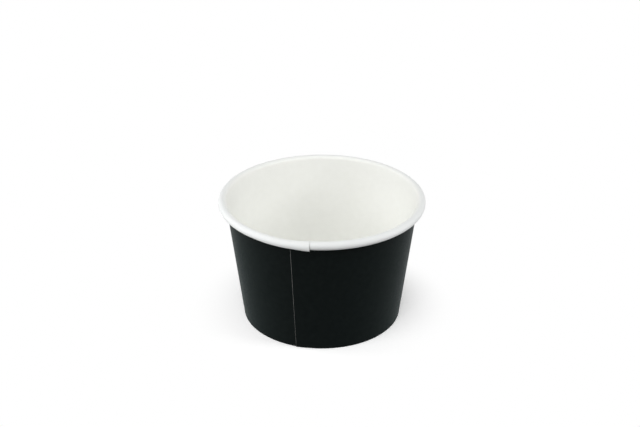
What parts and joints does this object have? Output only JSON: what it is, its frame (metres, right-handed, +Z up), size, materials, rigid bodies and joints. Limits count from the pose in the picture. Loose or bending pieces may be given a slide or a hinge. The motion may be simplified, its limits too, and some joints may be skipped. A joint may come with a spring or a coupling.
{
  "type": "paper ice cream cup",
  "caption": "Round tapered paper ice cream cup with a rolled white rim, a black printed wall with a lapped side seam, and a recessed bottom panel gripped in the base fold.",
  "frame": {"origin": "centre of the foot ring, on the table", "axes": "+Z up the cup's axis to the open mouth, -Y out through the side seam"},
  "size_m": [0.096, 0.0962, 0.0604],
  "materials": {
    "printed_board": "satin black print outside, white coated board inside and on the rolled rim",
    "white_board": "white coated board, uncoated underneath"
  },
  "bodies": {
    "root": {"sidewall": "printed_board", "bottom_panel": "white_board"}
  },
  "joints": []
}
